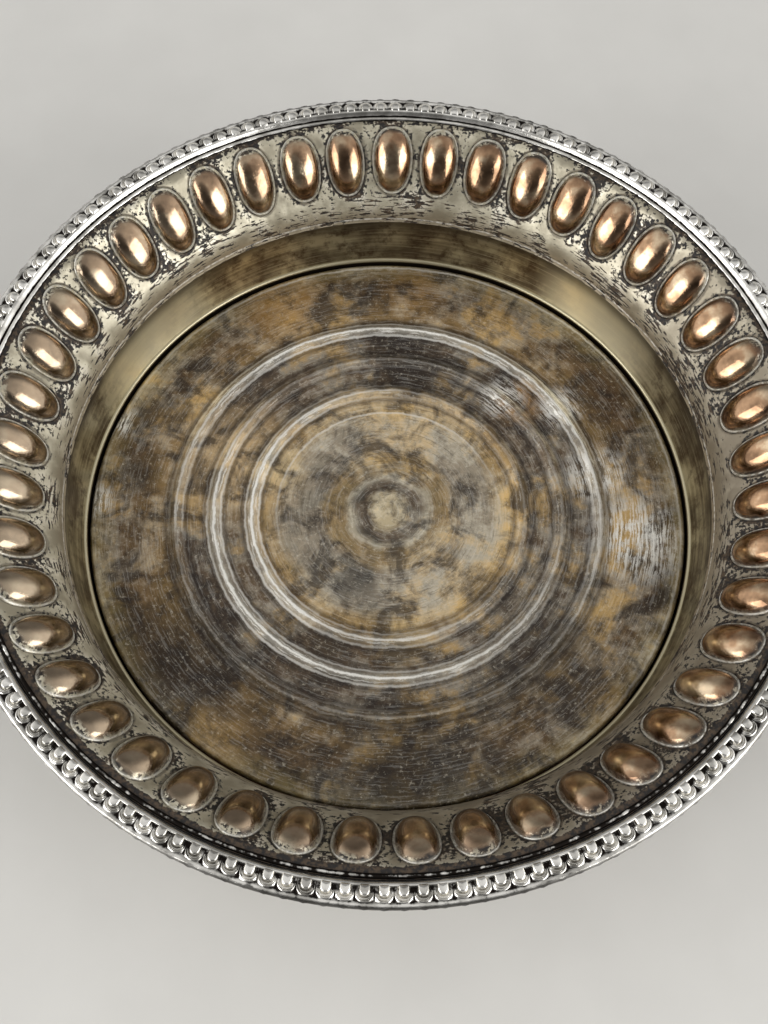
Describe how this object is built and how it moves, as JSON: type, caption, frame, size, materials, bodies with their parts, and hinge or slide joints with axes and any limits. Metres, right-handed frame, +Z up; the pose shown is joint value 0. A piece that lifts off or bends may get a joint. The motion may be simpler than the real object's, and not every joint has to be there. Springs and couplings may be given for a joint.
{
  "type": "wine bottle coaster",
  "caption": "Round flared wine bottle coaster with embossed oval lobes, a stamped tongue border, a ringed metal floor and a baize-covered wooden base.",
  "frame": {"origin": "centre of the underside of the baize, on the table", "axes": "+Z up along the axis of the coaster, -Y towards the viewer of the picture, +X to the viewer's right"},
  "size_m": [0.1608, 0.1608, 0.0379],
  "materials": {
    "tarnished_floor_plate": "brown and amber tarnish over spun silver plate, rubbed pale on the raised rings",
    "turned_wood": "turned and oiled hardwood",
    "green_baize": "felted wool baize",
    "worn_silver_plate": "silver plate worn through to copper on the lobes, with black tarnish in the hollows",
    "bright_silver_wire": "bright silver wire, hand rubbed",
    "stamped_silver_border": "stamped silver, bright on the crests and black in the ground"
  },
  "bodies": {
    "root": {"floor_plate": "tarnished_floor_plate", "base_disc": "turned_wood", "baize_pad": "green_baize", "gallery_wall": "worn_silver_plate", "rim_wire": "bright_silver_wire", "rim_border_1": "stamped_silver_border", "rim_border_2": "stamped_silver_border", "rim_border_3": "stamped_silver_border", "rim_border_4": "stamped_silver_border"}
  },
  "joints": []
}
